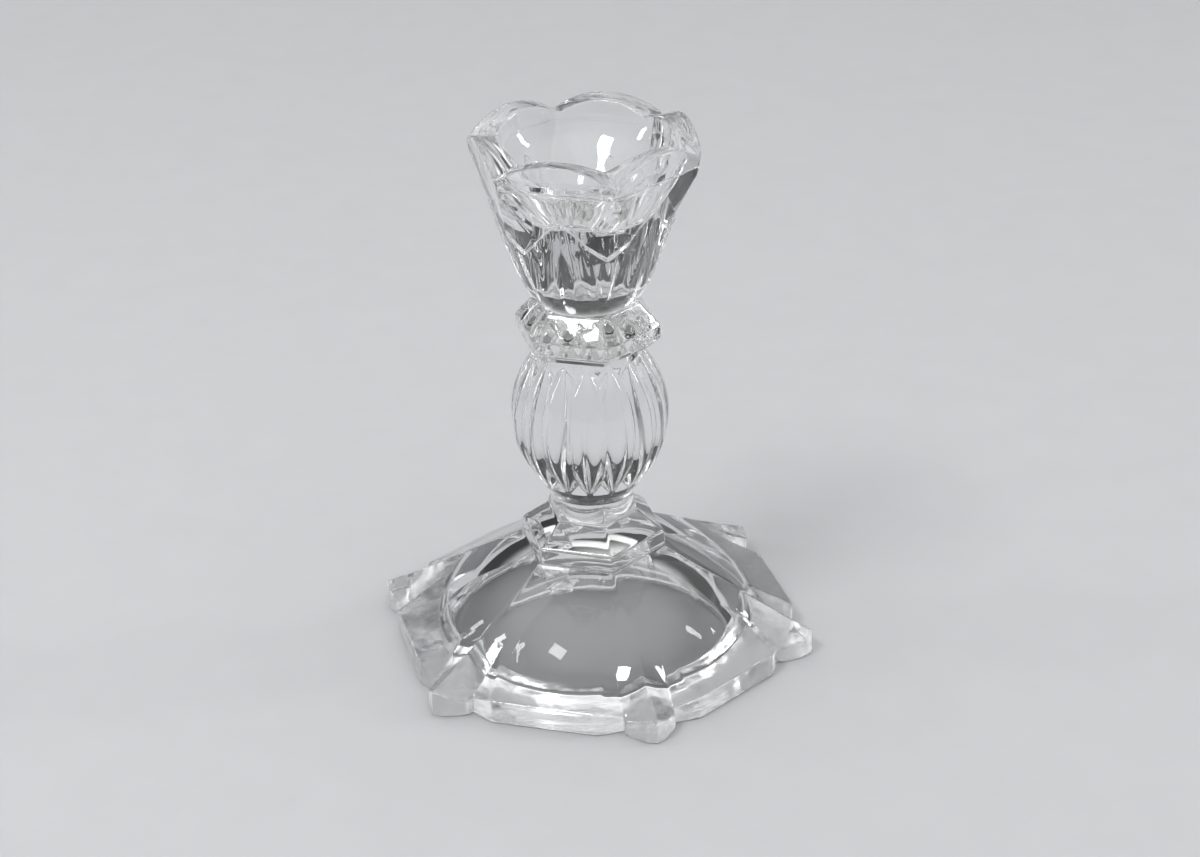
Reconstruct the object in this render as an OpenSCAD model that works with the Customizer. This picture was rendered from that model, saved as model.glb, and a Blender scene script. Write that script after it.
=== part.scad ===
// Pressed glass candlestick: a tulip cup on a hexagonal collar, a fluted bulb,
// a hexagonal plinth and a six-footed hexagonal base.
// Five separately pressed pieces are stacked on flat ground faces and held by
// four thin clear bond films. Everything is in millimetres, +Z is up, and the
// origin is the middle of the face the feet stand on.
// One foot points to -Y. Feet sit at the corners, panels lie between them.

/* [Candle cup] */
// radius of the round candle socket
socket_radius = 11.3; // [10.5:0.1:12]
// depth of the candle socket
socket_depth = 22; // [18:1:23]
// distance from the axis to the middle of a petal at its foot
rim_flat = 27; // [26:0.5:28]
// radius of the round mouth inside the petals
mouth_radius = 22.3; // [21:0.1:23]
// height of a petal above the notches between petals
petal_rise = 5.3; // [4:0.1:6]
// how far the leaves stand out from the bowl
leaf_relief = 1; // [0.6:0.1:1.4]

/* [Collar] */
// distance from the axis to a corner of the collar at its widest
collar_corner = 20.1; // [18.8:0.1:21]

/* [Bulb] */
// number of rounded flutes around the bulb
flute_count = 15; // [12:1:18]
// radius of the bulb at its widest
bulb_radius = 21.4; // [20.5:0.2:22.5]

/* [Plinth] */
// distance from the axis to a corner of the plinth
plinth_corner = 20.6; // [20:0.2:21.4]

/* [Base] */
// distance from the axis to the straight sides of the base
base_flat = 53.5; // [50:0.5:54]
// distance from the axis to the tips of the feet
foot_reach = 61.8; // [59:0.2:62]
// height of the straight sides
side_height = 6.3; // [5:0.1:8]
// radius of the hollow under the base
hollow_radius = 39; // [34:1:40]
// height of the hollow under the base
hollow_height = 22; // [16:1:22]

/* [Hidden] */
$fn = 96;
sides = 6;
step = 360 / sides;
film = 0.2;                 // thickness of each bond film
skirt_top = 29.2;           // top face of the base
plinth_bottom = skirt_top + film;
plinth_edge = 33.6;         // where the plinth starts to slope inwards
plinth_top = 39;
crown_corner = 12.8;        // corner radius of the plinth's top face
stem_bottom = plinth_top + film;
waist_height = 43.2;        // end of the hexagonal foot of the stem
waist_radius = 10.9;
bulb_bottom = 48.5;
bulb_middle = 68.5;
stem_top = 88.4;
stem_end_radius = 13.6;
collar_bottom = stem_top + film;
collar_top = 101.8;
collar_face_corner = 14.4;  // corner radius of the collar's top face
collar_under_corner = 16.2; // corner radius of the collar's underside
cup_bottom = collar_top + film;
cup_foot_radius = 12;
bowl_top = 120.6;           // where the bowl turns into the straight cone
crease_height = 141.3;      // where the petals start
panel_foot = 100;           // where the cup's six flat panels are measured from
panel_lean = 0.28;          // how fast the cup's panels lean out
crease_radius = 31.2;       // the cone's radius there
rim_radius = 30.9;          // radius of the corners between petals
petal_lean = 0.16;          // how fast the petals lean out
notch_height = 144;         // bottom of the notches between petals
rim_top = notch_height + petal_rise;
socket_mouth = 130;
funnel_top = 141;
leaf_tip = 133.5;
leaf_shoulder = 121.8;      // below this height the leaves join up
foot_half_width = 6.9;
groove_start = 41.9;        // where the grooves beside each foot begin
panel_end = 53.6;           // where the panels stop beside each foot
big = 200;

// distance from the axis to the flats of a hexagon with this corner radius
function flat_of(corner) = corner * cos(30);

// Upright hexagonal prism with corners where the feet are.
module hex_prism(corner, bottom, top) {
    translate([0, 0, bottom])
        rotate([0, 0, 30])
            cylinder(r = corner, h = top - bottom, $fn = 6);
}

// Copies of the children turned towards the six panels.
module each_panel() {
    for (i = [0 : sides - 1])
        rotate([0, 0, step * i])
            children();
}

// Copies of the children turned towards the six feet.
module each_corner() {
    for (i = [0 : sides - 1])
        rotate([0, 0, step * i + 30])
            children();
}

// Six blocks lying outside sloping planes. Each plane passes through the
// points (flat_a, height_a) and (flat_b, height_b); height_b is the higher.
module outside_slopes(flat_a, height_a, flat_b, height_b) {
    lean = atan2(flat_a - flat_b, height_b - height_a);
    each_panel()
        translate([flat_a, 0, height_a])
            rotate([0, -lean, 0])
                translate([0, -big / 2, -big / 2])
                    cube([big / 2, big, big]);
}

// Hexagonal block whose sides slope from one flat distance to another.
module hex_taper(flat_low, bottom, flat_high, top) {
    widest = max(flat_low, flat_high) / cos(30);
    difference() {
        hex_prism(widest, bottom, top);
        outside_slopes(flat_low, bottom, flat_high, top);
    }
}

// Solid between two outlines with the same number of points, lower first.
module solid_between(lower, upper) {
    n = len(lower);
    side_faces = [for (i = [0 : n - 1]) let (j = (i + 1) % n)
        each [[i, j, n + j], [i, n + j, n + i]]];
    lower_face = [for (i = [1 : n - 2]) [0, i + 1, i]];
    upper_face = [for (i = [1 : n - 2]) [n, n + i, n + i + 1]];
    turned = [for (face = concat(lower_face, upper_face, side_faces))
        [face[2], face[1], face[0]]];
    polyhedron(points = concat(lower, upper), faces = turned);
}

// ---------------------------------------------------------------- candle cup

// Half section of the plain bowl and cone, outer skin moved out by extra.
function bowl_section(extra, top) = [
    [0, cup_bottom],
    [cup_foot_radius, cup_bottom],
    [13.4 + extra, 103.4],
    [16 + extra, 107.6],
    [17.8 + extra, 111.8],
    [19.4 + extra, 116.2],
    [20.9 + extra, bowl_top],
    [crease_radius + extra, crease_height],
    [rim_radius + extra, top],
    [0, top],
];

// Blocks outside the six flat panels of the cone, moved out by extra.
module cup_panels(extra) {
    foot_flat = rim_flat - panel_lean * (crease_height - panel_foot);
    outside_slopes(foot_flat + extra, panel_foot, rim_flat + extra, crease_height);
}

// Bowl below, straight cone above, then the upright rim, trimmed by the
// sloping panels.
module cup_body() {
    difference() {
        rotate_extrude()
            polygon(bowl_section(0, rim_top));
        cup_panels(0);
        outside_slopes(rim_flat, crease_height,
                       rim_flat + petal_lean * (rim_top - crease_height), rim_top);
    }
}

// Outline of one leaf above the shoulder, seen from outside.
leaf_outline = [
    [-13, leaf_shoulder - 2],
    [13, leaf_shoulder - 2],
    [11.4, leaf_shoulder],
    [8.2, 124.6],
    [4.8, 128.6],
    [2, 132],
    [0, leaf_tip],
    [-2, 132],
    [-4.8, 128.6],
    [-8.2, 124.6],
    [-11.4, leaf_shoulder],
];

// Raised skin around the bowl with six pointed leaves growing out of it.
module leaves() {
    intersection() {
        difference() {
            rotate_extrude()
                polygon(bowl_section(leaf_relief, rim_top));
            cup_panels(leaf_relief);
        }
        union() {
            cylinder(r = 40, h = leaf_shoulder);
            each_panel()
                rotate([90, 0, 90])
                    linear_extrude(height = 40)
                        polygon(leaf_outline);
        }
    }
}

// Shallow rounded cuts in the leaves: two tall ones and a short one between.
module leaf_flutes() {
    each_panel() {
        for (side = [-1, 1])
            translate([29.2, side * 5.2, 119])
                rotate([side * 9, 19, 0])
                    cylinder(r = 8.5, h = 44, center = true);
        translate([20.7, 0, 110.5])
            rotate([0, 23, 0])
                cylinder(r = 3, h = 15, center = true);
    }
}

// Narrow flat-topped grooves between the leaves.
module corner_grooves() {
    groove_outline = [[-1.4, -11], [1.4, -11], [3.1, 0], [-3.1, 0]];
    each_corner()
        translate([20.7, 0, leaf_shoulder - 1.2])
            rotate([90, 0, 90])
                rotate([17, 0, 0])
                    linear_extrude(height = 12)
                        polygon(groove_outline);
}

// A cone lying on its side whose upper surface is the arch of one petal.
module petal_arch() {
    arch_half = rim_flat * tan(30);
    arch_radius = (arch_half * arch_half + petal_rise * petal_rise) / (2 * petal_rise);
    flare = 0.1;
    translate([0, 0, rim_top - arch_radius])
        rotate([0, 90, 0])
            cylinder(r1 = arch_radius - flare * rim_flat,
                     r2 = arch_radius + flare * (60 - rim_flat), h = 60);
}

// The glass taken out between neighbouring petals, one notch at each corner.
module notches() {
    half_width = 45 * tan(29);
    each_corner()
        difference() {
            translate([0, 0, notch_height - 6])
                linear_extrude(height = 20)
                    polygon([[0, 0], [45, -half_width], [45, half_width]]);
            rotate([0, 0, -30])
                petal_arch();
            rotate([0, 0, 30])
                petal_arch();
        }
}

// Round mouth and the funnel that leads down to the socket.
module funnel() {
    rotate_extrude()
        polygon([
            [0, socket_mouth],
            [socket_radius + 1, socket_mouth],
            [mouth_radius - 1.6, funnel_top],
            [mouth_radius, notch_height],
            [mouth_radius + 0.2, rim_top + 2],
            [0, rim_top + 2],
        ]);
}

module candle_cup() {
    color([0.86, 0.91, 0.93, 0.55])
    difference() {
        union() {
            cup_body();
            leaves();
        }
        notches();
        leaf_flutes();
        corner_grooves();
        funnel();
        translate([0, 0, socket_mouth - socket_depth])
            cylinder(r = socket_radius, h = socket_depth + 1);
    }
}

// ------------------------------------------------------------------- collar

module collar() {
    lower_edge = collar_bottom + 3.1;
    upper_edge = 95.6;
    color([0.82, 0.88, 0.92, 0.55])
    difference() {
        hex_prism(collar_corner, collar_bottom, collar_top);
        outside_slopes(flat_of(collar_under_corner), collar_bottom,
                       flat_of(collar_corner) - 0.15, lower_edge);
        outside_slopes(flat_of(collar_corner), upper_edge,
                       flat_of(collar_face_corner), collar_top);
    }
}

// --------------------------------------------------------------------- stem

// Plain core of the stem, from the waist up to the collar.
module stem_core() {
    core_radius = 14.4;
    rotate_extrude()
        polygon([
            [0, stem_bottom],
            [waist_radius - 0.6, stem_bottom],
            [waist_radius, waist_height],
            [waist_radius + 0.5, 44.8],
            [waist_radius + 1.6, 46.6],
            [13.7, bulb_bottom],
            [core_radius, 50.3],
            [core_radius, 86.8],
            [stem_end_radius, stem_top],
            [0, stem_top],
        ]);
}

// One rounded flute: a spindle cut from a circle and turned about its chord.
module flute() {
    chord_radius = 14.2;
    half_height = 18.6;
    bulge = bulb_radius - chord_radius;
    arc_radius = (half_height * half_height + bulge * bulge) / (2 * bulge);
    translate([chord_radius, 0, bulb_middle])
        rotate_extrude()
            intersection() {
                translate([bulge - arc_radius, 0])
                    circle(r = arc_radius, $fn = 180);
                translate([0, -half_height])
                    square([bulge + 1, 2 * half_height]);
            }
}

module stem() {
    first_flute = -90 + 7.3;
    color([0.88, 0.92, 0.95, 0.55])
    union() {
        hex_taper(flat_of(crown_corner), stem_bottom, flat_of(crown_corner) - 0.9, waist_height);
        stem_core();
        for (i = [0 : flute_count - 1])
            rotate([0, 0, first_flute + i * 360 / flute_count])
                flute();
    }
}

// ------------------------------------------------------------------- plinth

module plinth() {
    color([0.8, 0.86, 0.9, 0.55])
    difference() {
        hex_prism(plinth_corner, plinth_bottom, plinth_top);
        outside_slopes(flat_of(plinth_corner), plinth_bottom,
                       flat_of(plinth_corner) - 0.35, plinth_edge);
        outside_slopes(flat_of(plinth_corner) - 0.35, plinth_edge,
                       flat_of(crown_corner), plinth_top);
    }
}

// --------------------------------------------------------------------- base

// Height of the sloping panels at a point on the line of a foot.
panel_slope = (skirt_top - side_height) / (base_flat - flat_of(plinth_corner));
function panel_height(along, across) =
    skirt_top - panel_slope * (along * cos(30) + abs(across) * sin(30) - flat_of(plinth_corner));

// Hexagonal skirt with its corners cut square, ready for the feet.
module skirt() {
    difference() {
        intersection() {
            hex_prism(base_flat / cos(30), 0, skirt_top);
            rotate([0, 0, 30])
                hex_prism(panel_end / cos(30), 0, skirt_top);
        }
        outside_slopes(base_flat, side_height, flat_of(plinth_corner), skirt_top);
        each_corner()
            translate([groove_start, -foot_half_width, -1])
                cube([30, 2 * foot_half_width, skirt_top + 2]);
    }
}

// Wedges that slope the ends of the panels down to the grooves.
module panel_end_cuts() {
    length = 2 * (panel_end - groove_start);
    groove_fall = 0.906;
    crease_fall = 0.757;
    crease_spread = 0.57;
    near = [groove_start, foot_half_width, panel_height(groove_start, foot_half_width)];
    groove_end = near + length * [1, 0, -groove_fall];
    crease_end = near + length * [1, crease_spread, -crease_fall];
    lift = [0, 0, 25];
    each_corner()
        for (side = [0, 1])
            mirror([0, side, 0])
                solid_between([near, groove_end, crease_end],
                              [near + lift, groove_end + lift, crease_end + lift]);
}

// One foot, pointing along +X: a roof-shaped rib with a faceted tip.
module foot() {
    start_height = panel_height(groove_start, foot_half_width);
    side_end = 55.5;
    side_drop = 4.6;
    w = foot_half_width;
    outline = [
        [groove_start, 0],
        [groove_start, -w],
        [panel_end, -w],
        [side_end, -w],
        [foot_reach - 1.5, -3.1],
        [foot_reach, 0],
        [foot_reach - 1.5, 3.1],
        [side_end, w],
        [panel_end, w],
        [groove_start, w],
    ];
    crest_start = panel_height(groove_start, 0);
    heights = [crest_start, start_height, side_drop, side_drop - 0.4, 6, 7.1, 6,
               side_drop - 0.4, side_drop, start_height];
    lower = [for (p = outline) [p[0], p[1], 0]];
    upper = [for (i = [0 : len(outline) - 1]) [outline[i][0], outline[i][1], heights[i]]];
    half_left = [0, 1, 2, 3, 4, 5];
    half_right = [0, 5, 6, 7, 8, 9];
    for (half = [half_left, half_right])
        solid_between([for (i = half) lower[i]], [for (i = half) upper[i]]);
}

module base() {
    dome_wall = 4.5;
    cap = hollow_height - dome_wall;
    dome_radius = (hollow_radius * hollow_radius + cap * cap) / (2 * cap);
    color([0.78, 0.85, 0.9, 0.55])
    difference() {
        union() {
            difference() {
                skirt();
                panel_end_cuts();
            }
            each_corner()
                foot();
        }
        intersection() {
            translate([0, 0, hollow_height - dome_radius])
                sphere(r = dome_radius);
            translate([0, 0, -1])
                cylinder(r = hollow_radius, h = hollow_height + 2);
        }
    }
}

// --------------------------------------------------------------- bond films

module cup_bond() {
    color([0.95, 0.93, 0.8, 0.6])
    translate([0, 0, collar_top])
        cylinder(r = cup_foot_radius, h = film);
}

module collar_bond() {
    color([0.95, 0.93, 0.8, 0.6])
    translate([0, 0, stem_top])
        cylinder(r = stem_end_radius, h = film);
}

module stem_bond() {
    color([0.95, 0.93, 0.8, 0.6])
    hex_prism(crown_corner, plinth_top, stem_bottom);
}

module plinth_bond() {
    color([0.95, 0.93, 0.8, 0.6])
    hex_prism(plinth_corner, skirt_top, plinth_bottom);
}

candle_cup();
cup_bond();
collar();
collar_bond();
stem();
stem_bond();
plinth();
plinth_bond();
base();
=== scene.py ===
"""Looks of the pressed-glass candlestick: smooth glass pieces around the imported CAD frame.

Each glass piece is written as a field, a function that is negative inside the glass. Fields are joined
and cut with soft rules, which give the rounded edges of fire-polished glass, and the surface is meshed
and moved exactly onto the field. Fields are in millimetres, and meshes are in metres.
"""

import math

import bpy
import numpy as np
import openvdb
from mathutils import Matrix, Vector


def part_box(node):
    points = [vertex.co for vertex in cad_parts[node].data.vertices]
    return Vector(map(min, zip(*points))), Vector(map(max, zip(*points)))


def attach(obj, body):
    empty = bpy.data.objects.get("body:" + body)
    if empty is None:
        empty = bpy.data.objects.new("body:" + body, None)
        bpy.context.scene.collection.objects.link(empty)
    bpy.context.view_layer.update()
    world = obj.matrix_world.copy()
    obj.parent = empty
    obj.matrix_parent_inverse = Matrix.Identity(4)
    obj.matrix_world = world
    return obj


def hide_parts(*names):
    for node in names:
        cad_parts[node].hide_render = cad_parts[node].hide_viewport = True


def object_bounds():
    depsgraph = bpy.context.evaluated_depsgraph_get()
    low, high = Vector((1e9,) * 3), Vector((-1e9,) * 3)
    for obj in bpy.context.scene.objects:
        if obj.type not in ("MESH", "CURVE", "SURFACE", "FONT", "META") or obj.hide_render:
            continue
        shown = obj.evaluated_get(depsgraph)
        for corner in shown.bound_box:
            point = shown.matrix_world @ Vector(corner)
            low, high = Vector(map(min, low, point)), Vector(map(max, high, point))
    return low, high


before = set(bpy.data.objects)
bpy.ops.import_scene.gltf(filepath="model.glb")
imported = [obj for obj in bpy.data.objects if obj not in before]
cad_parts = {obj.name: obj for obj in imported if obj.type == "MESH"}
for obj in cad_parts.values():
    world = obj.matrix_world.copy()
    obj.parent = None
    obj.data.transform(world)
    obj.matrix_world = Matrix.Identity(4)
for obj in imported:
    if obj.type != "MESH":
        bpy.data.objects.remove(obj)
cad_low, cad_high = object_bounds()

MM = 0.001
SIXTH = math.radians(60)
COS30 = math.cos(math.radians(30))
SIN30 = 0.5
COARSER = 1.0     # larger steps between mesh points while trying things


def box_mm(node):
    """Lowest and highest corner of a CAD node, in millimetres."""
    low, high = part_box(node)
    return np.array(low) / MM, np.array(high) / MM


# ------------------------------------------------------------------ fields

class Place:
    """Points, with the coordinates that a six-sided shape is written in."""

    def __init__(self, x, y, z):
        self.x, self.y, self.z = x, y, z
        self.radius = np.hypot(x, y)
        angle = np.arctan2(y, x)
        turn = np.abs(angle - SIXTH * np.round(angle / SIXTH))
        # towards the nearest panel and sideways from its middle
        self.out = self.radius * np.cos(turn)
        self.side = self.radius * np.sin(turn)
        # the same for the next nearest panel
        self.next_out = self.out * SIN30 + self.side * COS30
        self.next_side = np.abs(self.out * COS30 - self.side * SIN30)
        # towards the nearest foot and sideways from it
        self.foot_out = self.out * COS30 + self.side * SIN30
        self.foot_side = self.out * SIN30 - self.side * COS30


def meet(*fields, soft=0.25):
    """Inside all of the fields, with edges rounded by about twice the softness."""
    total = fields[0] / soft
    for field in fields[1:]:
        total = np.logaddexp(total, field / soft)
    return total * soft


def join(*fields, soft=0.25):
    """Inside any of the fields, with rounded inner corners."""
    return -meet(*[-field for field in fields], soft=soft)


def cut(field, tool, soft=0.25):
    """Inside the field and outside the tool."""
    return meet(field, -tool, soft=soft)


def join_heights(first, second, soft=0.3):
    """The higher of two heights, rounded where they cross."""
    return soft * np.logaddexp(first / soft, second / soft)


def slope(out, z, lower, upper):
    """Distance outside the plane through two (out, z) points, the lower one first."""
    run = upper[0] - lower[0]
    rise = upper[1] - lower[1]
    return ((out - lower[0]) * rise - (z - lower[1]) * run) / math.hypot(run, rise)


def blend_between(low, high, value):
    """0 below low, 1 above high, and smooth between."""
    t = np.clip((value - low) / (high - low), 0, 1)
    return t * t * (3 - 2 * t)


def hexagon(place, lower, upper, soft=0.14):
    """Inside six planes that lean from one flat distance to another."""
    return meet(slope(place.out, place.z, lower, upper),
                slope(place.next_out, place.z, lower, upper), soft=soft)


def curve(points):
    """A smooth function through (height, radius) points, without overshoot."""
    height, radius = np.array(points, float).T
    step = np.diff(height)
    steep = np.diff(radius) / step
    level = np.concatenate([steep[:1], np.zeros(len(step) - 1), steep[-1:]])
    same = steep[:-1] * steep[1:] > 0
    mean = 2 * steep[:-1] * steep[1:] / np.where(same, steep[:-1] + steep[1:], 1)
    level[1:-1] = np.where(same, mean, 0)

    def value(z):
        z = np.clip(z, height[0], height[-1])
        i = np.clip(np.searchsorted(height, z, side="right") - 1, 0, len(step) - 1)
        t = (z - height[i]) / step[i]
        rise = (3 - 2 * t) * t * t
        return (radius[i] + rise * (radius[i + 1] - radius[i])
                + step[i] * t * (1 - t) * (level[i] * (1 - t) - level[i + 1] * t))

    return value


# ------------------------------------------------------------------ candle cup

CUP_BOTTOM = box_mm("candle_cup")[0][2]
CUP_TOP = box_mm("candle_cup")[1][2]
CUP_FOOT = 12               # radius of the cup's bottom face
CREASE = 141.3              # height where the petals start
CUP_FLAT = 27               # distance to the middle of a petal there
RIM_FLAT = CUP_FLAT + 1.3   # the same at the petals' tops
RIM_HEIGHT = CREASE + 8
PANEL_FOOT = 100            # height from which the panels under the petals lean out
PANEL_LEAN = 0.28
PETAL_RISE = 5.3            # height of a petal's arch
PETAL_FLARE = 0.1           # how much the arch widens on its way out
MOUTH_RADIUS = 22.3
SOCKET_RADIUS = 11.3
SOCKET_FLOOR = 108
LEAF_TIP = 133.5
LEAF_SPREAD = 0.975         # half the width of a leaf for each millimetre below its tip
LEAF_CURVE = 0.97           # below 1, so that the leaf's sides bow outwards
LEAF_SLANT = 0.72           # turns a sideways distance into one square to the leaf's edge
LEAF_RELIEF = 1.0
CHANNEL_TOP = 120.6         # the narrow grooves between the leaves
CHANNEL_FLOOR = 20.7
CHANNEL_HALF = 3.1
CHANNEL_TAPER = 0.15
CHANNEL_LEAN = math.tan(math.radians(17))

bowl_radius = curve([(CUP_BOTTOM, CUP_FOOT), (103.4, 13.5), (107.6, 16), (111.8, 17.8), (116.2, 19.4),
                     (120.6, 20.9), (CREASE - 4, 29.3), (CREASE, 31.15), (CREASE + 4, 31.0),
                     (CUP_TOP + 2, 30.9)])
mouth_radius = curve([(SOCKET_FLOOR - 2, SOCKET_RADIUS), (129.2, SOCKET_RADIUS), (130.4, 12.4),
                      (136, 16.8), (141, MOUTH_RADIUS - 1.6), (144.5, MOUTH_RADIUS - 0.1),
                      (CUP_TOP + 2, MOUTH_RADIUS + 0.2)])


def petal_top(out, side):
    """Height of the rounded top of one petal."""
    half_width = CUP_FLAT * math.tan(math.radians(30))
    arch = (half_width ** 2 + PETAL_RISE ** 2) / (2 * PETAL_RISE)
    reach = arch + PETAL_FLARE * (out - RIM_FLAT)
    return CUP_TOP - arch + np.sqrt(np.maximum(reach ** 2 - side ** 2, 0.01))


def leaf_shape(place):
    """Inside the outline of the leaves, seen from outside."""
    below_tip = np.maximum(LEAF_TIP - place.z, 0)
    half_width = LEAF_SPREAD * below_tip ** LEAF_CURVE
    return LEAF_SLANT * (place.side - half_width) + np.maximum(place.z - LEAF_TIP, 0)


def leaning_rod(place, out, side, z, lean_out, lean_side, radius):
    """A long round bar whose middle is given, leaning outwards and towards the panel's middle."""
    direction = np.array([math.tan(lean_out), -math.tan(lean_side), 1])
    direction /= np.linalg.norm(direction)
    offset = (place.out - out, place.side - side, place.z - z)
    along = sum(part * pull for part, pull in zip(offset, direction))
    away = sum(part ** 2 for part in offset) - along ** 2
    return np.sqrt(np.maximum(away, 1e-6)) - radius


def cup_skin(place, extra):
    """The outside of the cup without its leaves, moved out by extra."""
    foot = (CUP_FLAT - PANEL_LEAN * (CREASE - PANEL_FOOT), PANEL_FOOT)
    waist = (CUP_FLAT, CREASE)
    tip = (RIM_FLAT, RIM_HEIGHT)
    return meet(place.radius - bowl_radius(place.z),
                hexagon(place, foot, waist, soft=0.2),
                hexagon(place, waist, tip, soft=0.5), soft=0.08) - extra


def leaves(place):
    """Six pointed leaves in relief, each with two tall rounded flutes and a short one between them."""
    glass = meet(cup_skin(place, LEAF_RELIEF), leaf_shape(place), soft=0.16)
    for hand in (-1, 1):
        tall = leaning_rod(place, out=29.2, side=hand * 5.2, z=119, lean_out=math.radians(19),
                           lean_side=hand * math.radians(9), radius=8.5)
        glass = cut(glass, tall, soft=0.13)
    short = leaning_rod(place, out=20.7, side=0, z=110.5, lean_out=math.radians(23), lean_side=0, radius=3)
    return cut(glass, short, soft=0.13)


def channel(place):
    """The narrow groove between two leaves."""
    below = CHANNEL_TOP - place.z
    return meet(place.foot_side - (CHANNEL_HALF - CHANNEL_TAPER * below), -below,
                CHANNEL_FLOOR - CHANNEL_LEAN * below - place.foot_out, soft=0.15)


def cup(place):
    """The tulip-shaped cup with its petals, leaves, grooves, funnel and socket."""
    glass = join(cup_skin(place, 0), leaves(place), soft=0.13)
    glass = cut(glass, channel(place), soft=0.15)
    petals = join_heights(petal_top(place.out, place.side), petal_top(place.next_out, place.next_side))
    glass = meet(glass, place.z - petals, soft=0.2)
    mouth = meet(place.radius - mouth_radius(place.z), SOCKET_FLOOR - place.z, soft=0.35)
    glass = cut(glass, mouth, soft=0.22)
    return meet(glass, CUP_BOTTOM - place.z, soft=0.12)


# ------------------------------------------------------------------ collar

COLLAR_BOTTOM = box_mm("collar")[0][2]
COLLAR_TOP = box_mm("collar")[1][2]
COLLAR_FLAT = box_mm("collar")[1][0]
COLLAR_UNDER_FLAT = 16.2 * COS30
COLLAR_FACE_FLAT = 14.4 * COS30
COLLAR_LOWER_EDGE = COLLAR_BOTTOM + 3.1
COLLAR_UPPER_EDGE = COLLAR_BOTTOM + 7
COLLAR_DRAFT = 0.15


def collar(place):
    """The hexagonal collar, bevelled above and below."""
    lower = hexagon(place, (COLLAR_UNDER_FLAT, COLLAR_BOTTOM),
                    (COLLAR_FLAT - COLLAR_DRAFT, COLLAR_LOWER_EDGE))
    middle = hexagon(place, (COLLAR_FLAT, COLLAR_BOTTOM), (COLLAR_FLAT, COLLAR_TOP))
    upper = hexagon(place, (COLLAR_FLAT, COLLAR_UPPER_EDGE), (COLLAR_FACE_FLAT, COLLAR_TOP))
    sides = meet(lower, middle, upper, soft=0.14)
    return meet(sides, COLLAR_BOTTOM - place.z, place.z - COLLAR_TOP, soft=0.12)


# ------------------------------------------------------------------ stem

STEM_BOTTOM = box_mm("stem")[0][2]
STEM_TOP = box_mm("stem")[1][2]
STEM_END = 13.6             # radius of the stem's top face
CROWN_FLAT = 12.8 * COS30   # the hexagon where the stem stands on the plinth
BULB_RADIUS = 21.4
FLUTES = 15
FIRST_FLUTE = math.radians(-90 + 7.3)
BULB_MIDDLE = 68.5

core_radius = curve([(STEM_BOTTOM, 10.3), (43.2, 10.9), (44.8, 11.4), (46.6, 12.5), (48.5, 13.7),
                     (50.3, 14.4), (86.4, 14.4), (STEM_TOP, STEM_END)])


def flute(place, turn):
    """One spindle-shaped flute, turned sideways from the point by an angle."""
    axis_radius = 14.2
    half_height = 18.6
    bulge = BULB_RADIUS - axis_radius
    arc = (half_height ** 2 + bulge ** 2) / (2 * bulge)
    away = np.hypot(place.radius * np.cos(turn) - axis_radius, place.radius * np.sin(turn))
    return np.hypot(away + arc - bulge, place.z - BULB_MIDDLE) - arc


def stem(place):
    """The fluted bulb on its waisted neck, with a small hexagonal foot."""
    spacing = 2 * math.pi / FLUTES
    angle = np.arctan2(place.y, place.x) - FIRST_FLUTE
    turn = np.abs(angle - spacing * np.round(angle / spacing))
    flutes = join(flute(place, turn), flute(place, spacing - turn), soft=0.16)
    core = place.radius - core_radius(place.z)
    foot_top = (CROWN_FLAT - 0.9, 43.2)
    corner_low = (13.1, 41.2)
    corner_high = (9.2, 46.2)
    foot = meet(hexagon(place, (CROWN_FLAT, STEM_BOTTOM), foot_top),
                slope(place.foot_out, place.z, corner_low, corner_high), soft=0.25)
    glass = join(core, foot, soft=0.5)
    glass = join(glass, flutes, soft=0.3)
    return meet(glass, STEM_BOTTOM - place.z, place.z - STEM_TOP, soft=0.1)


# ------------------------------------------------------------------ plinth

PLINTH_BOTTOM = box_mm("plinth")[0][2]
PLINTH_TOP = box_mm("plinth")[1][2]
PLINTH_FLAT = box_mm("plinth")[1][0]
PLINTH_EDGE = PLINTH_BOTTOM + 4.2
PLINTH_DRAFT = 0.35


def plinth(place):
    """The hexagonal plinth with sloping upper faces."""
    edge = (PLINTH_FLAT - PLINTH_DRAFT, PLINTH_EDGE)
    sides = hexagon(place, (PLINTH_FLAT, PLINTH_BOTTOM), edge)
    top = hexagon(place, edge, (CROWN_FLAT, PLINTH_TOP))
    glass = meet(sides, top, soft=0.14)
    return meet(glass, PLINTH_BOTTOM - place.z, place.z - PLINTH_TOP, soft=0.1)


# ------------------------------------------------------------------ base

BASE_TOP = box_mm("base")[1][2]
BASE_FLAT = 53.5
BASE_DRAFT = 0.02           # how much the upright sides lean in
FOOT_REACH = box_mm("base")[1][1]
SIDE_HEIGHT = 6.3           # height of the base's upright sides
FOOT_HALF = 6.9             # half the width of a foot
GROOVE_START = 41.9         # where the grooves beside a foot begin
PANEL_END = 53.6            # where the panels stop beside a foot
RIDGE_ROUND = 0.55          # rounding of the ridges between panels
CREST_ROUND = 0.35          # rounding of the crest along a foot
END_FALL = 0.906            # how fast the panels' ends fall along the foot
END_TILT = 0.26             # and rise away from it
SIDE_END = 55.5             # where a foot's straight sides stop
SIDE_DROP = 4.6             # height of those sides at the panels' end
SIDE_FALL = 0.21
TIP_HEIGHT = 7.1
TIP_HALF = 3.1              # half the width of the facets at a foot's tip
TIP_LENGTH = 3.2            # how much of a foot is stippled
TIP_BACK = 1.5              # how far those facets' outer edges lie behind the tip
HOLLOW_RADIUS = 39
HOLLOW_HEIGHT = 22
DOME_WALL = 4.5             # height of the hollow's straight wall


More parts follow.
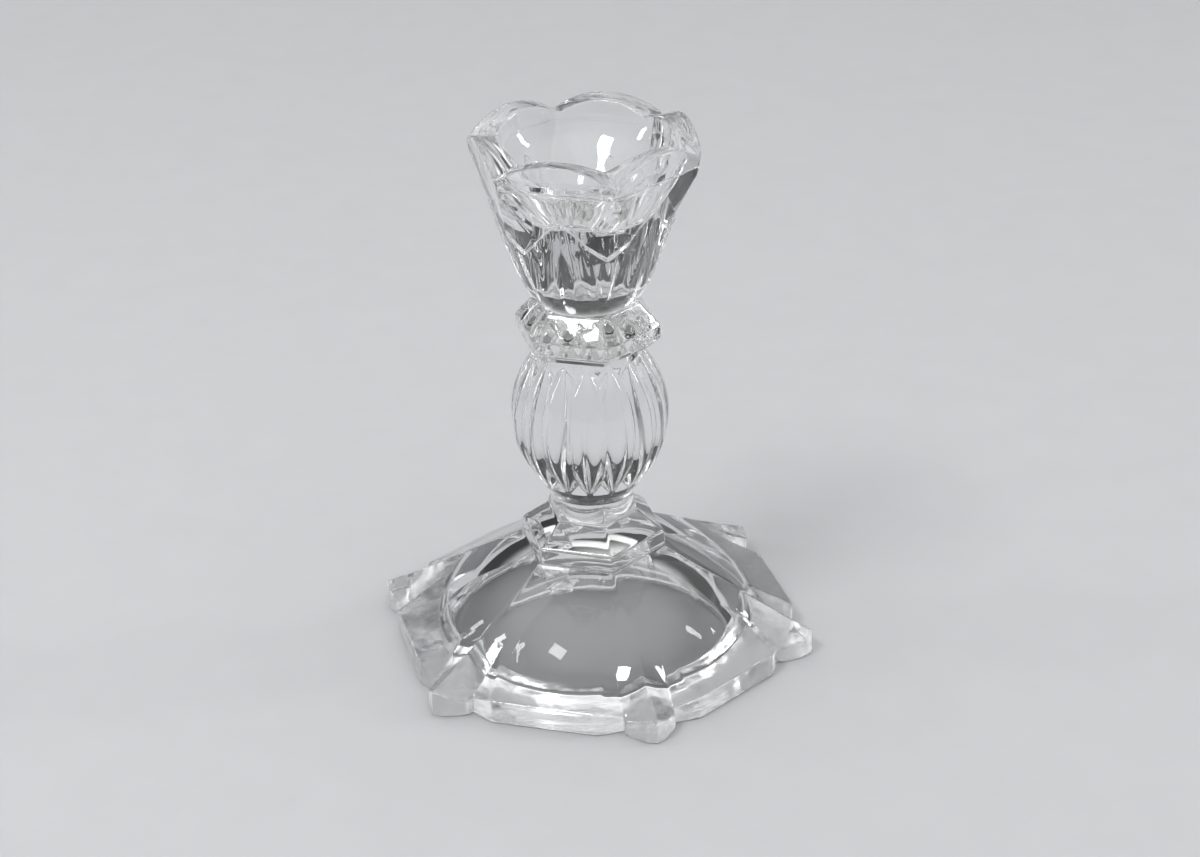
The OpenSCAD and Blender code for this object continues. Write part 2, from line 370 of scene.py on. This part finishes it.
def base_top(place):
    """Height of the top of the base: sloping panels, cut down at their ends, and a rib over each foot."""
    fall = (BASE_TOP - SIDE_HEIGHT) / (BASE_FLAT - PLINTH_FLAT)
    along, across = place.foot_out, place.foot_side
    ridge = np.hypot(across, RIDGE_ROUND)
    panel = BASE_TOP - fall * (along * COS30 + ridge * SIN30 - PLINTH_FLAT)
    groove_height = BASE_TOP - fall * (GROOVE_START * COS30 + FOOT_HALF * SIN30 - PLINTH_FLAT)
    ahead = along - GROOVE_START
    panel_end = groove_height - END_FALL * ahead + END_TILT * (across - FOOT_HALF)
    crest_start = BASE_TOP - fall * (GROOVE_START * COS30 - PLINTH_FLAT)
    crest = crest_start - (crest_start - TIP_HEIGHT) / (FOOT_REACH - GROOVE_START) * ahead
    groove_fall = (groove_height - SIDE_DROP) / (PANEL_END - GROOVE_START)
    groove = join_heights(groove_height - groove_fall * ahead,
                          SIDE_DROP - SIDE_FALL * (along - PANEL_END), soft=0.3)
    foot = crest - np.hypot(across, CREST_ROUND) / FOOT_HALF * (crest - groove)
    outer = -join_heights(-panel, -panel_end, soft=0.12)
    start_blend = 0.2
    side_blend = 0.45
    on_foot = blend_between(GROOVE_START - start_blend, GROOVE_START + start_blend, along)
    beside_foot = blend_between(FOOT_HALF - side_blend, FOOT_HALF + side_blend, across)
    inner = panel + on_foot * (foot - panel)
    return inner + beside_foot * (outer - inner)


def hollow(place):
    """The round hollow under the base: a short straight wall and a dome."""
    cap = HOLLOW_HEIGHT - DOME_WALL
    dome = (HOLLOW_RADIUS ** 2 + cap ** 2) / (2 * cap)
    ball = np.sqrt(place.radius ** 2 + (place.z - HOLLOW_HEIGHT + dome) ** 2) - dome
    return meet(ball, place.radius - HOLLOW_RADIUS, soft=0.5)


def base(place):
    """The sloping panels and six feet, hollow underneath."""
    draft = BASE_DRAFT * place.z
    skirt = meet(place.out - BASE_FLAT + draft, place.next_out - BASE_FLAT + draft,
                 place.foot_out - PANEL_END + draft, soft=0.1)
    tip_corner = (FOOT_REACH - TIP_BACK, TIP_HALF)
    tip_side = slope(place.foot_out, place.foot_side, tip_corner, (SIDE_END, FOOT_HALF))
    tip = slope(place.foot_out, place.foot_side, (FOOT_REACH, 0), tip_corner)
    foot = meet(place.foot_side - FOOT_HALF, tip_side + draft, tip + draft, soft=0.12)
    outline = join(skirt, foot, soft=0.1)
    steepness = 0.8             # turns a height above the slope into roughly a distance
    above = steepness * (place.z - base_top(place))
    glass = meet(outline, above, soft=0.12)
    glass = meet(glass, place.z - BASE_TOP, soft=0.1)
    glass = cut(glass, hollow(place), soft=0.3)
    return meet(glass, -place.z, soft=0.25)


# ------------------------------------------------------------------ meshing

def surface(field, low, high, voxel):
    """Points, quads and outward normals of the surface where the field is zero."""
    margin = 2.5
    start = low - margin * voxel
    count = np.ceil((high - low) / voxel + 2 * margin).astype(int) + 1
    x, y, z = (start[i] + voxel * np.arange(count[i]) for i in range(3))
    place = Place(x[:, None, None], y[None, :, None], z[None, None, :])
    values = np.broadcast_to(field(place), tuple(count)).astype(np.float32)
    far_outside = 3.0
    grid = openvdb.FloatGrid(far_outside)
    grid.copyFromArray(np.ascontiguousarray(values))
    points, quads = grid.convertToQuads(0.0)
    points = start + np.asarray(points, float) * voxel
    quads = np.asarray(quads, int)
    points = onto(field, points, voxel)[0]
    for _ in range(2):
        points = settled(field, points, quads, voxel)
    points, normals = onto(field, points, voxel)
    corners = points[quads]
    facing = np.cross(corners[:, 2] - corners[:, 0], corners[:, 3] - corners[:, 1])
    if (facing * normals[quads[:, 0]]).sum() < 0:
        quads = quads[:, ::-1]
    return points, quads, normals


def onto(field, points, voxel):
    """Moves points onto the surface, and gives the surface's normals there."""
    for _ in range(3):
        value, gradient = measured(field, points)
        reach = np.clip(value / np.maximum((gradient ** 2).sum(1), 0.05), -0.5 * voxel, 0.5 * voxel)
        points = points - gradient * reach[:, None]
    normals = measured(field, points)[1]
    return points, normals / np.linalg.norm(normals, axis=1)[:, None]


def settled(field, points, quads, voxel):
    """Moves each point to where the planes of the faces round it meet, which makes edges crisp."""
    centres, normals = onto(field, points[quads].mean(1), voxel)
    corners = quads.T.ravel()
    count = np.bincount(corners, minlength=len(points))

    def gathered(values):
        return np.bincount(corners, np.tile(values, 4), len(points))

    middle = np.stack([gathered(centres[:, i]) for i in range(3)], 1) / count[:, None]
    offset = (normals * centres).sum(1)
    planes = np.empty((len(points), 3, 3))
    pull = np.empty((len(points), 3))
    for i in range(3):
        pull[:, i] = gathered(normals[:, i] * offset)
        for j in range(3):
            planes[:, i, j] = gathered(normals[:, i] * normals[:, j])
    pull -= np.einsum("pij,pj->pi", planes, middle)
    hold = 0.04                 # keeps points on flat ground near their middle
    planes += hold * count[:, None, None] * np.eye(3)
    move = np.linalg.solve(planes, pull[:, :, None])[:, :, 0]
    length = np.linalg.norm(move, axis=1)
    return middle + move * np.minimum(1, voxel / np.maximum(length, 1e-9))[:, None]


def measured(field, points):
    """The field and its gradient at points."""
    small = 0.02
    value = field(Place(*points.T))
    gradient = np.empty_like(points)
    for i in range(3):
        ahead, behind = points.copy(), points.copy()
        ahead[:, i] += small
        behind[:, i] -= small
        gradient[:, i] = (field(Place(*ahead.T)) - field(Place(*behind.T))) / (2 * small)
    return value, gradient


def glass_piece(name, node, field, voxel, faces_of):
    """Meshes a field over a CAD node's box and gives its faces the glass materials."""
    low, high = box_mm(node)
    points, quads, normals = surface(field, low, high, voxel * COARSER)
    mesh = bpy.data.meshes.new(name)
    mesh.from_pydata((points * MM).tolist(), [], quads.tolist())
    mesh.shade_smooth()
    mesh.normals_split_custom_set_from_vertices(normals.tolist())
    centres = Place(*points[quads].mean(1).T)
    tilt = normals[quads].mean(1)
    index = np.zeros(len(quads), np.int32)
    mesh.materials.append(crystal)
    for number, (material, chosen) in enumerate(faces_of, 1):
        index[chosen(centres, tilt)] = number
        mesh.materials.append(material)
    mesh.polygons.foreach_set("material_index", index)
    piece = bpy.data.objects.new(name, mesh)
    bpy.context.scene.collection.objects.link(piece)
    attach(piece, "root")
    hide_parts(node)


# ------------------------------------------------------------------ materials

def node_material(name):
    """An empty node material, its tree and its output."""
    material = bpy.data.materials.new(name)
    material.use_nodes = True
    tree = material.node_tree
    tree.nodes.clear()
    output = tree.nodes.new("ShaderNodeOutputMaterial")
    return material, tree, output


def noise(tree, scale, detail, vector):
    """Cloudy variation between 0 and 1."""
    texture = tree.nodes.new("ShaderNodeTexNoise")
    texture.inputs["Scale"].default_value = scale
    texture.inputs["Detail"].default_value = detail
    tree.links.new(vector, texture.inputs["Vector"])
    return texture.outputs["Fac"]


def ranged(tree, value, low, high, start=0, end=1):
    """Takes start to low and end to high."""
    spread = tree.nodes.new("ShaderNodeMapRange")
    spread.inputs["From Min"].default_value = start
    spread.inputs["From Max"].default_value = end
    spread.inputs["To Min"].default_value = low
    spread.inputs["To Max"].default_value = high
    tree.links.new(value, spread.inputs["Value"])
    return spread.outputs["Result"]


def bump(tree, height, strength, distance, below=None):
    """Relief that follows a height, on top of the relief below it."""
    lift = tree.nodes.new("ShaderNodeBump")
    lift.inputs["Strength"].default_value = strength
    lift.inputs["Distance"].default_value = distance
    tree.links.new(height, lift.inputs["Height"])
    if below is not None:
        tree.links.new(below, lift.inputs["Normal"])
    return lift.outputs["Normal"]


def math_node(tree, operation, first, second=0.0):
    """A math node. Either input is a socket or a number."""
    node = tree.nodes.new("ShaderNodeMath")
    node.operation = operation
    for socket, value in zip(node.inputs, (first, second)):
        if isinstance(value, float):
            socket.default_value = value
        else:
            tree.links.new(value, socket)
    return node.outputs[0]


GLASS_IOR = 1.54
SEAM_HALF = 0.35 * MM       # half the width of the mould seam
SEAM_INSIDE = 24.5 * MM     # the seam is only on the outside, further out than this


def squared(tree, value):
    """A socket's value times itself."""
    return math_node(tree, "MULTIPLY", value, value)


def mould_seam(tree, where):
    """1 along the fine seam that the mould's rim ring leaves round the foot of the petals."""
    parts = tree.nodes.new("ShaderNodeSeparateXYZ")
    tree.links.new(where, parts.inputs["Vector"])
    away = math_node(tree, "ABSOLUTE", math_node(tree, "SUBTRACT", parts.outputs["Z"], CREASE * MM))
    ridge = ranged(tree, away, 1, 0, 0, SEAM_HALF)
    radius_squared = math_node(tree, "ADD", squared(tree, parts.outputs["X"]),
                               squared(tree, parts.outputs["Y"]))
    outside = math_node(tree, "GREATER_THAN", radius_squared, SEAM_INSIDE ** 2)
    return math_node(tree, "MULTIPLY", ridge, outside)


def glass_material(name, tint, rough_low, rough_high, wave_scale, waves, grain):
    """Clear pressed glass: soft mould waves, uneven haze, a fine grain, and tinted shadows."""
    material, tree, output = node_material(name)
    where = tree.nodes.new("ShaderNodeTexCoord").outputs["Object"]
    glass = tree.nodes.new("ShaderNodeBsdfPrincipled")
    glass.inputs["Base Color"].default_value = (*tint, 1)
    glass.inputs["Transmission Weight"].default_value = 1
    glass.inputs["IOR"].default_value = GLASS_IOR
    haze = noise(tree, 90, 4, where)
    tree.links.new(ranged(tree, haze, rough_low, rough_high), glass.inputs["Roughness"])
    wavy = bump(tree, noise(tree, wave_scale, 1.5, where), waves, 0.0004)
    fine = bump(tree, noise(tree, 1500, 2, where), grain, 0.0001, wavy)
    seam = bump(tree, mould_seam(tree, where), 0.6, 0.00015, fine)
    tree.links.new(seam, glass.inputs["Normal"])
    facing = tree.nodes.new("ShaderNodeLayerWeight")
    facing.inputs["Blend"].default_value = 0.35
    shade = tree.nodes.new("ShaderNodeMix")
    shade.data_type = "RGBA"
    shade.inputs["A"].default_value = (0.86, 0.865, 0.87, 1)
    shade.inputs["B"].default_value = (0.25, 0.26, 0.27, 1)
    tree.links.new(facing.outputs["Facing"], shade.inputs["Factor"])
    through = tree.nodes.new("ShaderNodeBsdfTransparent")
    tree.links.new(shade.outputs["Result"], through.inputs["Color"])
    path = tree.nodes.new("ShaderNodeLightPath")
    mix = tree.nodes.new("ShaderNodeMixShader")
    tree.links.new(path.outputs["Is Shadow Ray"], mix.inputs["Fac"])
    tree.links.new(glass.outputs["BSDF"], mix.inputs[1])
    tree.links.new(through.outputs["BSDF"], mix.inputs[2])
    tree.links.new(mix.outputs["Shader"], output.inputs["Surface"])
    return material


def bonded_material():
    """Faces pressed together with clear adhesive, where light passes on without bending."""
    material, tree, output = node_material("bonded_face")
    where = tree.nodes.new("ShaderNodeTexCoord").outputs["Object"]
    through = tree.nodes.new("ShaderNodeBsdfTransparent")
    clear = tree.nodes.new("ShaderNodeMix")
    clear.data_type = "RGBA"
    clear.inputs["A"].default_value = (1, 1, 1, 1)
    clear.inputs["B"].default_value = (0.985, 0.985, 0.98, 1)
    tree.links.new(noise(tree, 400, 3, where), clear.inputs["Factor"])
    tree.links.new(clear.outputs["Result"], through.inputs["Color"])
    tree.links.new(through.outputs["BSDF"], output.inputs["Surface"])
    return material


crystal = glass_material("crystal_glass", tint=(0.985, 0.99, 0.992), rough_low=0.0, rough_high=0.006,
                         wave_scale=130, waves=0.12, grain=0.01)
ground = glass_material("ground_glass", tint=(0.97, 0.975, 0.98), rough_low=0.12, rough_high=0.3,
                        wave_scale=260, waves=0.8, grain=0.5)
stippled = glass_material("stippled_glass", tint=(0.98, 0.985, 0.99), rough_low=0.03, rough_high=0.12,
                          wave_scale=1200, waves=0.9, grain=0.6)
film_edge = glass_material("film_edge", tint=(0.97, 0.97, 0.955), rough_low=0.03, rough_high=0.1,
                           wave_scale=200, waves=0.1, grain=0.2)
bonded = bonded_material()


# ------------------------------------------------------------------ pieces

def flat_at(height, inside):
    """Chooses the flat faces at a height whose middle is inside an outline."""
    def chosen(place, tilt):
        level = np.abs(place.z - height) < 0.03
        upright = np.abs(tilt[:, 2]) > 0.95
        return level & upright & inside(place)
    return chosen


def within(radius):
    """Inside a circle round the axis."""
    return lambda place: place.radius < radius


def within_hexagon(flat):
    """Inside a hexagon whose flats are this far from the axis."""
    return lambda place: place.out < flat


def everywhere(place):
    """No outline at all."""
    return place.radius >= 0


def foot_tip(place, tilt):
    """Chooses the upright facets at the tips of the feet."""
    near_tip = place.foot_out > FOOT_REACH - TIP_LENGTH
    steep = np.abs(tilt[:, 2]) < 0.7
    return near_tip & steep


glass_piece("glass_cup", "candle_cup", cup, voxel=0.36,
            faces_of=[(bonded, flat_at(CUP_BOTTOM, within(CUP_FOOT)))])
glass_piece("glass_collar", "collar", collar, voxel=0.3,
            faces_of=[(bonded, flat_at(COLLAR_TOP, within(CUP_FOOT))),
                      (bonded, flat_at(COLLAR_BOTTOM, within(STEM_END)))])
glass_piece("glass_stem", "stem", stem, voxel=0.3,
            faces_of=[(bonded, flat_at(STEM_TOP, within(STEM_END))),
                      (bonded, flat_at(STEM_BOTTOM, within_hexagon(CROWN_FLAT)))])
glass_piece("glass_plinth", "plinth", plinth, voxel=0.3,
            faces_of=[(bonded, flat_at(PLINTH_TOP, within_hexagon(CROWN_FLAT))),
                      (bonded, flat_at(PLINTH_BOTTOM, within_hexagon(PLINTH_FLAT)))])
glass_piece("glass_base", "base", base, voxel=0.46,
            faces_of=[(bonded, flat_at(BASE_TOP, within_hexagon(PLINTH_FLAT))),
                      (ground, flat_at(0, everywhere)),
                      (stippled, foot_tip)])


def film(name, node, rim_points):
    """A bond film: two flat faces and a rim that bulges a little in the middle."""
    low, high = box_mm(node)
    thickness = high[2] - low[2]
    clearance = 0.02
    rings = [(0.0, 0.25), (0.25, 0.07), (0.5, 0.0), (0.75, 0.07), (1.0, 0.25)]
    vertices = []
    for share, inset in rings:
        for x, y in rim_points:
            scale = 1 - (inset * thickness + clearance) / math.hypot(x, y)
            vertices.append((x * scale * MM, y * scale * MM, (low[2] + share * thickness) * MM))
    count = len(rim_points)
    faces = [tuple(reversed(range(count)))]
    for ring in range(len(rings) - 1):
        for i in range(count):
            a = ring * count + i
            b = ring * count + (i + 1) % count
            faces.append((a, b, b + count, a + count))
    faces.append(tuple(range((len(rings) - 1) * count, len(rings) * count)))
    mesh = bpy.data.meshes.new(name)
    mesh.from_pydata(vertices, [], faces)
    mesh.materials.append(film_edge)
    mesh.materials.append(bonded)
    mesh.polygons[0].material_index = 1
    mesh.polygons[len(faces) - 1].material_index = 1
    piece = bpy.data.objects.new(name, mesh)
    bpy.context.scene.collection.objects.link(piece)
    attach(piece, "root")
    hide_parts(node)


def round_rim(radius):
    """Points round a circle."""
    turns = 96
    return [(radius * math.cos(2 * math.pi * i / turns), radius * math.sin(2 * math.pi * i / turns))
            for i in range(turns)]


def six_sided_rim(flat, per_side=8):
    """Points round a hexagon whose corners point at the feet."""
    points = []
    corner = flat / COS30
    for i in range(6):
        a = math.radians(60 * i - 30)
        b = math.radians(60 * i + 30)
        for step in range(per_side):
            t = step / per_side
            points.append((corner * (math.cos(a) * (1 - t) + math.cos(b) * t),
                           corner * (math.sin(a) * (1 - t) + math.sin(b) * t)))
    return points


film("film_cup", "cup_bond", round_rim(CUP_FOOT))
film("film_collar", "collar_bond", round_rim(STEM_END))
film("film_stem", "stem_bond", six_sided_rim(CROWN_FLAT))
film("film_plinth", "plinth_bond", six_sided_rim(PLINTH_FLAT))


# ------------------------------------------------------------------ floor, light and camera

def floor():
    """A plain pale sheet, a hair below the glass."""
    material, tree, output = node_material("pale_floor")
    where = tree.nodes.new("ShaderNodeTexCoord").outputs["Object"]
    paper = tree.nodes.new("ShaderNodeBsdfPrincipled")
    tone = tree.nodes.new("ShaderNodeMix")
    tone.data_type = "RGBA"
    tone.inputs["A"].default_value = (0.46, 0.465, 0.475, 1)
    tone.inputs["B"].default_value = (0.49, 0.495, 0.505, 1)
    tree.links.new(noise(tree, 60, 5, where), tone.inputs["Factor"])
    tree.links.new(tone.outputs["Result"], paper.inputs["Base Color"])
    paper.inputs["Roughness"].default_value = 0.8
    tree.links.new(paper.outputs["BSDF"], output.inputs["Surface"])
    mesh = bpy.data.meshes.new("floor")
    reach, below = 8.0, -0.00005
    mesh.from_pydata([(-reach, -reach, below), (reach, -reach, below),
                      (reach, reach, below), (-reach, reach, below)], [], [(0, 1, 2, 3)])
    mesh.materials.append(material)
    sheet = bpy.data.objects.new("floor", mesh)
    bpy.context.scene.collection.objects.link(sheet)


def softbox(name, direction, width, height, power, distance=2.0, spread=180):
    """A rectangular area light that faces the middle of the candlestick."""
    lamp = bpy.data.lights.new(name, "AREA")
    lamp.shape = "RECTANGLE"
    lamp.size = width
    lamp.size_y = height
    lamp.energy = power
    lamp.spread = math.radians(spread)
    box = bpy.data.objects.new(name, lamp)
    middle = (cad_low + cad_high) / 2
    towards = Vector(direction).normalized()
    box.location = middle + towards * distance
    box.rotation_euler = (-towards).to_track_quat("-Z", "Y").to_euler()
    bpy.context.scene.collection.objects.link(box)


def studio():
    """Three softboxes, and a ceiling that is bright overhead and dark towards the horizon."""
    softbox("key_light", (-0.513, -0.268, 0.815), width=0.52, height=0.36, power=17)
    softbox("right_light", (0.9, -0.1, 0.42), width=0.2, height=0.7, power=1.4, spread=70)
    softbox("left_light", (-0.93, 0.3, 0.3), width=0.2, height=0.9, power=1.4, spread=70)
    world = bpy.data.worlds.new("studio")
    world.use_nodes = True
    tree = world.node_tree
    direction = tree.nodes.new("ShaderNodeTexCoord").outputs["Generated"]
    parts = tree.nodes.new("ShaderNodeSeparateXYZ")
    tree.links.new(direction, parts.inputs["Vector"])
    ceiling = tree.nodes.new("ShaderNodeMapRange")
    ceiling.interpolation_type = "SMOOTHSTEP"
    ceiling.inputs["From Min"].default_value = 0.35
    ceiling.inputs["From Max"].default_value = 0.95
    ceiling.inputs["To Min"].default_value = 0.04
    ceiling.inputs["To Max"].default_value = 1.45
    tree.links.new(parts.outputs["Z"], ceiling.inputs["Value"])
    tree.links.new(ceiling.outputs["Result"], tree.nodes["Background"].inputs["Strength"])
    tree.nodes["Background"].inputs["Color"].default_value = (0.98, 0.99, 1, 1)
    bpy.context.scene.world = world


def camera():
    """The camera stands 14 degrees to the left of one foot and looks down at the candlestick."""
    foot_bearing = math.radians(14.38)
    distance, height = 0.6423, 0.3921
    heading = foot_bearing + math.radians(0.23)
    pitch = math.radians(27.15)
    roll = math.radians(-1.45)
    lens = bpy.data.cameras.new("camera")
    lens.sensor_width = 36
    lens.lens = 79.9
    view = bpy.data.objects.new("camera", lens)
    turned = (Matrix.Rotation(-heading, 4, "Z") @ Matrix.Rotation(math.pi / 2 - pitch, 4, "X")
              @ Matrix.Rotation(roll, 4, "Z"))
    place = Vector((-distance * math.sin(foot_bearing), -distance * math.cos(foot_bearing), height))
    view.matrix_world = Matrix.Translation(place) @ turned
    bpy.context.scene.collection.objects.link(view)
    bpy.context.scene.camera = view


floor()
studio()
camera()

scene = bpy.context.scene
scene.cycles.max_bounces = 28
scene.cycles.transmission_bounces = 28
scene.cycles.glossy_bounces = 12
scene.cycles.transparent_max_bounces = 32
scene.cycles.caustics_refractive = False
scene.cycles.caustics_reflective = False
scene.view_settings.view_transform = "Standard"
